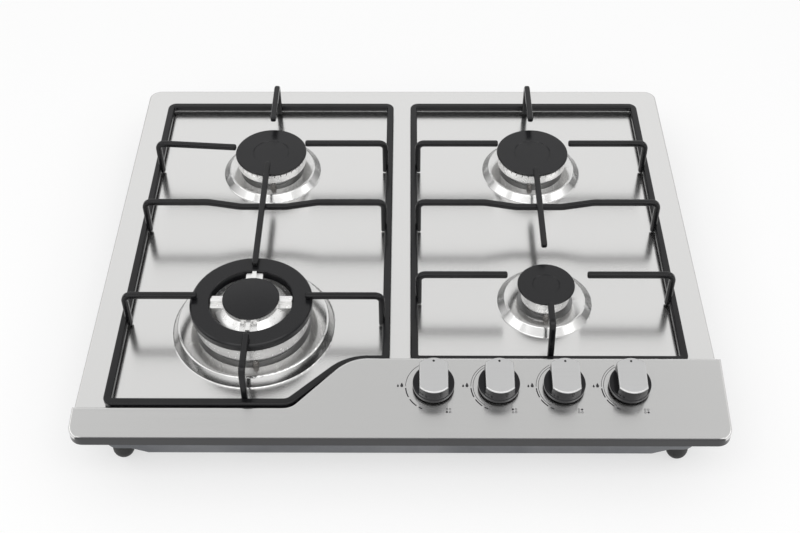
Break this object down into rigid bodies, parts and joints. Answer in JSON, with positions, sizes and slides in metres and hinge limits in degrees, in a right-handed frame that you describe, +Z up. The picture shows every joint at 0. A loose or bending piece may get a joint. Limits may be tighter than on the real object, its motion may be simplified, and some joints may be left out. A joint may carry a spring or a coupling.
{
  "type": "gas cooktop",
  "caption": "Built-in gas cooktop: steel plate with a raised knob panel, ring and wok burners, lift-off pan supports, gas train and a steel tray.",
  "frame": {"origin": "on the ground under the middle of the steel plate, at the level of the four rubber feet", "axes": "+X to the user's right along the plate's width, +Y to the rear, +Z up"},
  "size_m": [0.59, 0.51, 0.1015],
  "materials": {
    "brass": "machined brass",
    "cap_enamel": "satin black enamel",
    "ceramic_white": "glazed ceramic; stands in for steatite",
    "crown_aluminium": "cast and machined, dull",
    "cup_aluminium": "die-cast, dull",
    "knob_metal": "satin metal top and polished side",
    "lead_sleeve": "silicone insulation",
    "pipe_steel": "zinc-coated tube",
    "plastic_black": "moulded plastic",
    "rubber_black": "moulded rubber",
    "seal_foam": "closed-cell foam",
    "spindle_steel": "turned steel",
    "steel_plate": "brushed satin, brushed from left to right",
    "support_enamel": "satin black enamel over steel bar",
    "tray_steel": "zinc-coated sheet, dull",
    "tube_aluminium": "drawn tube",
    "valve_aluminium": "die-cast"
  },
  "bodies": {
    "cooktop": {"bottom_tray": "tray_steel", "foot_front_left": "rubber_black", "foot_front_right": "rubber_black", "foot_rear_left": "rubber_black", "foot_rear_right": "rubber_black", "front_left_burner_cup": "cup_aluminium", "front_left_electrode": "ceramic_white", "front_left_gas_tube": "tube_aluminium", "front_left_valve_body": "valve_aluminium", "front_right_burner_cup": "cup_aluminium", "front_right_electrode": "ceramic_white", "front_right_gas_tube": "tube_aluminium", "front_right_valve_body": "valve_aluminium", "gas_inlet_elbow": "brass", "gas_rail": "pipe_steel", "ignition_leads": "lead_sleeve", "ignition_switches": "plastic_black", "injectors": "brass", "inlet_pipe": "pipe_steel", "rear_left_burner_cup": "cup_aluminium", "rear_left_electrode": "ceramic_white", "rear_left_gas_tube": "tube_aluminium", "rear_left_valve_body": "valve_aluminium", "rear_right_burner_cup": "cup_aluminium", "rear_right_electrode": "ceramic_white", "rear_right_gas_tube": "tube_aluminium", "rear_right_valve_body": "valve_aluminium", "spark_generator": "plastic_black", "top_plate": "steel_plate", "worktop_seal": "seal_foam"},
    "left_pan_support": {"left_support_frame": "support_enamel", "left_support_bridge": "support_enamel", "left_support_fingers": "support_enamel", "left_support_pads": "rubber_black"},
    "right_pan_support": {"right_support_frame": "support_enamel", "right_support_bridge": "support_enamel", "right_support_fingers": "support_enamel", "right_support_pads": "rubber_black"},
    "rear_left_flame_spreader": {"rear_left_crown": "crown_aluminium"},
    "rear_left_burner_cap": {"rear_left_cap": "cap_enamel"},
    "rear_right_flame_spreader": {"rear_right_crown": "crown_aluminium"},
    "rear_right_burner_cap": {"rear_right_cap": "cap_enamel"},
    "front_right_flame_spreader": {"front_right_crown": "crown_aluminium"},
    "front_right_burner_cap": {"front_right_cap": "cap_enamel"},
    "front_left_flame_spreader": {"front_left_crown": "crown_aluminium"},
    "front_left_ring_cap": {"front_left_outer_cap": "cap_enamel"},
    "front_left_centre_cap": {"front_left_inner_cap": "cap_enamel"},
    "front_left_valve_rotor": {"front_left_valve_plug": "brass"},
    "front_left_knob_set": {"front_left_knob": "knob_metal", "front_left_spindle": "spindle_steel"},
    "rear_left_valve_rotor": {"rear_left_valve_plug": "brass"},
    "rear_left_knob_set": {"rear_left_knob": "knob_metal", "rear_left_spindle": "spindle_steel"},
    "rear_right_valve_rotor": {"rear_right_valve_plug": "brass"},
    "rear_right_knob_set": {"rear_right_knob": "knob_metal", "rear_right_spindle": "spindle_steel"},
    "front_right_valve_rotor": {"front_right_valve_plug": "brass"},
    "front_right_knob_set": {"front_right_knob": "knob_metal", "front_right_spindle": "spindle_steel"}
  },
  "joints": [
    {"name": "left_pan_support_lift", "type": "slide", "parent": "cooktop", "child": "left_pan_support", "axis": [0, 0, 1], "range_m": [0, 0.15]},
    {"name": "right_pan_support_lift", "type": "slide", "parent": "cooktop", "child": "right_pan_support", "axis": [0, 0, 1], "range_m": [0, 0.15]},
    {"name": "rear_left_flame_spreader_lift", "type": "slide", "parent": "cooktop", "child": "rear_left_flame_spreader", "axis": [0, 0, 1], "range_m": [0, 0.045]},
    {"name": "rear_left_burner_cap_lift", "type": "slide", "parent": "cooktop", "child": "rear_left_burner_cap", "axis": [0, 0, 1], "range_m": [0, 0.09]},
    {"name": "rear_right_flame_spreader_lift", "type": "slide", "parent": "cooktop", "child": "rear_right_flame_spreader", "axis": [0, 0, 1], "range_m": [0, 0.045]},
    {"name": "rear_right_burner_cap_lift", "type": "slide", "parent": "cooktop", "child": "rear_right_burner_cap", "axis": [0, 0, 1], "range_m": [0, 0.09]},
    {"name": "front_right_flame_spreader_lift", "type": "slide", "parent": "cooktop", "child": "front_right_flame_spreader", "axis": [0, 0, 1], "range_m": [0, 0.045]},
    {"name": "front_right_burner_cap_lift", "type": "slide", "parent": "cooktop", "child": "front_right_burner_cap", "axis": [0, 0, 1], "range_m": [0, 0.09]},
    {"name": "front_left_flame_spreader_lift", "type": "slide", "parent": "cooktop", "child": "front_left_flame_spreader", "axis": [0, 0, 1], "range_m": [0, 0.045]},
    {"name": "front_left_ring_cap_lift", "type": "slide", "parent": "cooktop", "child": "front_left_ring_cap", "axis": [0, 0, 1], "range_m": [0, 0.075]},
    {"name": "front_left_centre_cap_lift", "type": "slide", "parent": "cooktop", "child": "front_left_centre_cap", "axis": [0, 0, 1], "range_m": [0, 0.105]},
    {"name": "front_left_knob_turn", "type": "hinge", "parent": "cooktop", "child": "front_left_valve_rotor", "pos_m": [0.0305, -0.2023, 0.06877], "axis": [0, -0.1822, 0.9833], "range_deg": [0, 210]},
    {"name": "front_left_knob_push", "type": "slide", "parent": "front_left_valve_rotor", "child": "front_left_knob_set", "axis": [0, 0.1822, -0.9833], "range_m": [0, 0.003], "stiffness_N_per_m": 2500},
    {"name": "rear_left_knob_turn", "type": "hinge", "parent": "cooktop", "child": "rear_left_valve_rotor", "pos_m": [0.0896, -0.2023, 0.06877], "axis": [0, -0.1822, 0.9833], "range_deg": [0, 210]},
    {"name": "rear_left_knob_push", "type": "slide", "parent": "rear_left_valve_rotor", "child": "rear_left_knob_set", "axis": [0, 0.1822, -0.9833], "range_m": [0, 0.003], "stiffness_N_per_m": 2500},
    {"name": "rear_right_knob_turn", "type": "hinge", "parent": "cooktop", "child": "rear_right_valve_rotor", "pos_m": [0.1487, -0.2023, 0.06877], "axis": [0, -0.1822, 0.9833], "range_deg": [0, 210]},
    {"name": "rear_right_knob_push", "type": "slide", "parent": "rear_right_valve_rotor", "child": "rear_right_knob_set", "axis": [0, 0.1822, -0.9833], "range_m": [0, 0.003], "stiffness_N_per_m": 2500},
    {"name": "front_right_knob_turn", "type": "hinge", "parent": "cooktop", "child": "front_right_valve_rotor", "pos_m": [0.2078, -0.2023, 0.06877], "axis": [0, -0.1822, 0.9833], "range_deg": [0, 210]},
    {"name": "front_right_knob_push", "type": "slide", "parent": "front_right_valve_rotor", "child": "front_right_knob_set", "axis": [0, 0.1822, -0.9833], "range_m": [0, 0.003], "stiffness_N_per_m": 2500}
  ],
  "couplings": [
    {"joint": "rear_left_flame_spreader_lift", "follows": "left_pan_support_lift", "ratio": 0.3},
    {"joint": "rear_left_burner_cap_lift", "follows": "left_pan_support_lift", "ratio": 0.6},
    {"joint": "rear_right_flame_spreader_lift", "follows": "right_pan_support_lift", "ratio": 0.3},
    {"joint": "rear_right_burner_cap_lift", "follows": "right_pan_support_lift", "ratio": 0.6},
    {"joint": "front_right_flame_spreader_lift", "follows": "right_pan_support_lift", "ratio": 0.3},
    {"joint": "front_right_burner_cap_lift", "follows": "right_pan_support_lift", "ratio": 0.6},
    {"joint": "front_left_flame_spreader_lift", "follows": "left_pan_support_lift", "ratio": 0.3},
    {"joint": "front_left_ring_cap_lift", "follows": "left_pan_support_lift", "ratio": 0.5},
    {"joint": "front_left_centre_cap_lift", "follows": "left_pan_support_lift", "ratio": 0.7}
  ]
}
